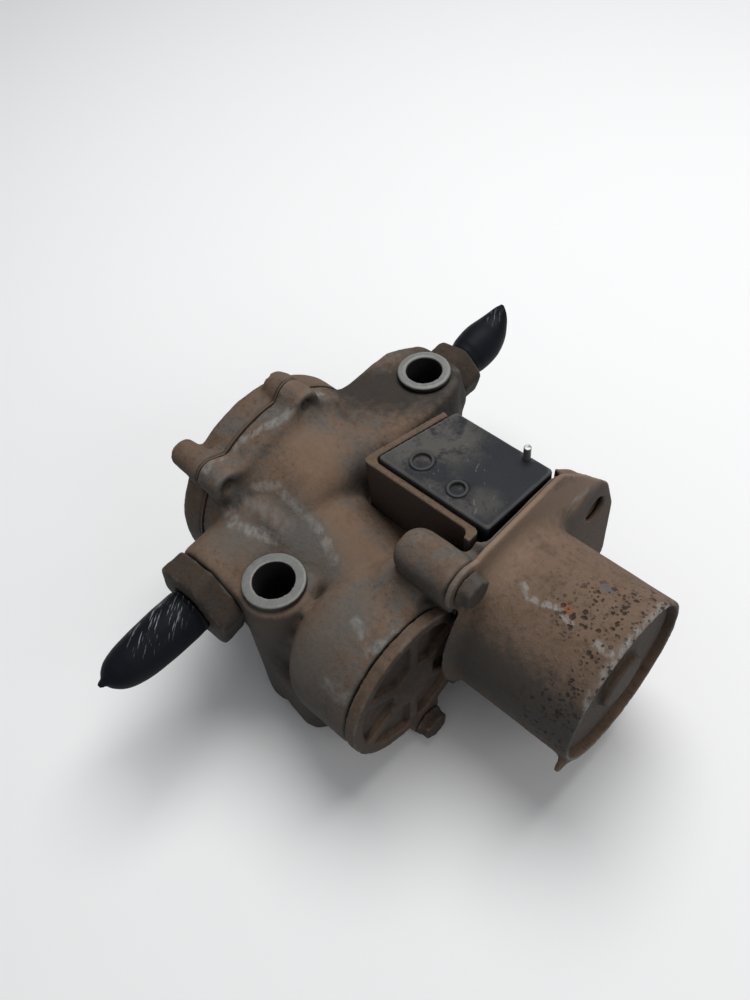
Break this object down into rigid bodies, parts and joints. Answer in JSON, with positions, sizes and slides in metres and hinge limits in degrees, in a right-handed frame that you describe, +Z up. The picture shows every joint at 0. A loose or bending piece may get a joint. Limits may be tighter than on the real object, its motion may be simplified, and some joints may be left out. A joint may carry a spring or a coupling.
{
  "type": "motor-driven rotary valve",
  "caption": "Cast rotary valve with a cross waterway and hose ports, turned through a gear train by a flanged can motor, with a relay held in a strap.",
  "frame": {"origin": "centre of the front bolt bore at its lower end, in the plane of the feet", "axes": "+Z up along the front bolt bore, +X along the motor shaft from the valve towards the closed end of the motor, +Y across the motor shaft towards the rear hose port"},
  "size_m": [0.212, 0.2716, 0.1212],
  "materials": {
    "body_casting": "sand cast, dull, stained brown with mud and rust",
    "cover_casting": "sand cast, dull, stained brown",
    "gear_cover": "pressed and machined plate, rusted brown",
    "gasket": "matt fibre-filled rubber",
    "sleeve_steel": "turned, worn bright grey on the face",
    "fastener_steel": "plated, rusted dull",
    "liner_bronze": "bored and honed bronze",
    "rotor_metal": "turned",
    "seal_rubber": "smooth black",
    "gear_steel": "hobbed, oiled",
    "gear_polymer": "moulded, greased",
    "ground_steel": "ground",
    "gland_nut": "dull, dark with dirt",
    "barb_brass": "turned",
    "boot_rubber": "smooth black with pale scratches",
    "motor_can": "drawn steel, paint gone, brown with rust and pits",
    "motor_end": "pressed steel, rusted brown",
    "lamination_steel": "stacked and varnished",
    "copper_wire": "enamelled copper",
    "copper_bar": "turned copper",
    "magnet": "sintered ferrite",
    "card_plastic": "brown laminate",
    "carbon": "pressed carbon",
    "spring_steel": "drawn wire",
    "relay_plastic": "moulded, dusty charcoal",
    "relay_plug": "potted rings, dusty",
    "terminal": "plated pin",
    "board": "glass-fibre laminate",
    "contact_metal": "silver-faced copper",
    "strap_steel": "folded strip, rusted brown"
  },
  "bodies": {
    "housing": {"brush_card": "card_plastic", "brush_springs": "spring_steel", "carbon_brushes": "carbon", "compound_pin": "ground_steel", "contact_spring": "spring_steel", "end_cover": "cover_casting", "end_cover_gasket": "gasket", "end_cover_screws": "fastener_steel", "field_magnets": "magnet", "front_bearing": "ground_steel", "front_bolt_sleeve": "sleeve_steel", "front_gland_nut": "gland_nut", "front_gland_seal": "seal_rubber", "front_hose_barb": "barb_brass", "front_port_boot": "boot_rubber", "gear_cover": "gear_cover", "gear_cover_bolts": "fastener_steel", "idler_pin": "ground_steel", "layshaft_bushes": "liner_bronze", "motor_bolts": "fastener_steel", "motor_can": "motor_can", "motor_end_plate": "motor_end", "port_liner": "liner_bronze", "rear_bearing": "ground_steel", "rear_bolt_sleeve": "sleeve_steel", "rear_gland_nut": "gland_nut", "rear_gland_seal": "seal_rubber", "rear_hose_barb": "barb_brass", "rear_port_boot": "boot_rubber", "relay_board": "board", "relay_coil": "copper_wire", "relay_core": "lamination_steel", "relay_housing": "relay_plastic", "relay_plugs": "relay_plug", "relay_strap": "strap_steel", "terminal_pin": "terminal", "thrust_washer": "liner_bronze", "valve_body": "body_casting"},
    "armature": {"armature_shaft": "ground_steel", "armature_core": "lamination_steel", "armature_windings": "copper_wire", "commutator": "copper_bar", "motor_pinion": "gear_steel"},
    "idler": {"idler_gear": "gear_polymer"},
    "compound": {"compound_wheel": "gear_polymer", "compound_pinion": "gear_steel"},
    "layshaft": {"layshaft": "ground_steel", "layshaft_pinion": "gear_steel", "layshaft_gear": "gear_steel"},
    "rotor": {"valve_rotor": "rotor_metal", "rotor_seals": "seal_rubber", "rotor_ring_gear": "gear_steel"},
    "plunger": {"contact_plunger": "contact_metal"}
  },
  "joints": [
    {"name": "armature_spin", "type": "hinge", "parent": "housing", "child": "armature", "pos_m": [0, 0.069, 0.062], "axis": [1, 0, 0], "continuous": true},
    {"name": "idler_spin", "type": "hinge", "parent": "housing", "child": "idler", "pos_m": [0, 0.05245, 0.06215], "axis": [1, 0, 0], "continuous": true},
    {"name": "compound_spin", "type": "hinge", "parent": "housing", "child": "compound", "pos_m": [0, 0.01477, 0.05399], "axis": [1, 0, 0], "continuous": true},
    {"name": "layshaft_spin", "type": "hinge", "parent": "housing", "child": "layshaft", "pos_m": [0, 0.053, 0.046], "axis": [1, 0, 0], "continuous": true},
    {"name": "rotor_spin", "type": "hinge", "parent": "housing", "child": "rotor", "pos_m": [0, 0.053, 0.062], "axis": [1, 0, 0], "continuous": true},
    {"name": "contact_slide", "type": "slide", "parent": "housing", "child": "plunger", "axis": [0, 0, -1], "range_m": [0, 0.0025], "stiffness_N_per_m": 800, "springref_m": -0.002, "deforming": ["contact_spring"]}
  ],
  "couplings": [
    {"joint": "idler_spin", "follows": "armature_spin", "ratio": -0.94118},
    {"joint": "compound_spin", "follows": "armature_spin", "ratio": 0.26667},
    {"joint": "layshaft_spin", "follows": "armature_spin", "ratio": -0.22857},
    {"joint": "rotor_spin", "follows": "armature_spin", "ratio": -0.07619}
  ]
}
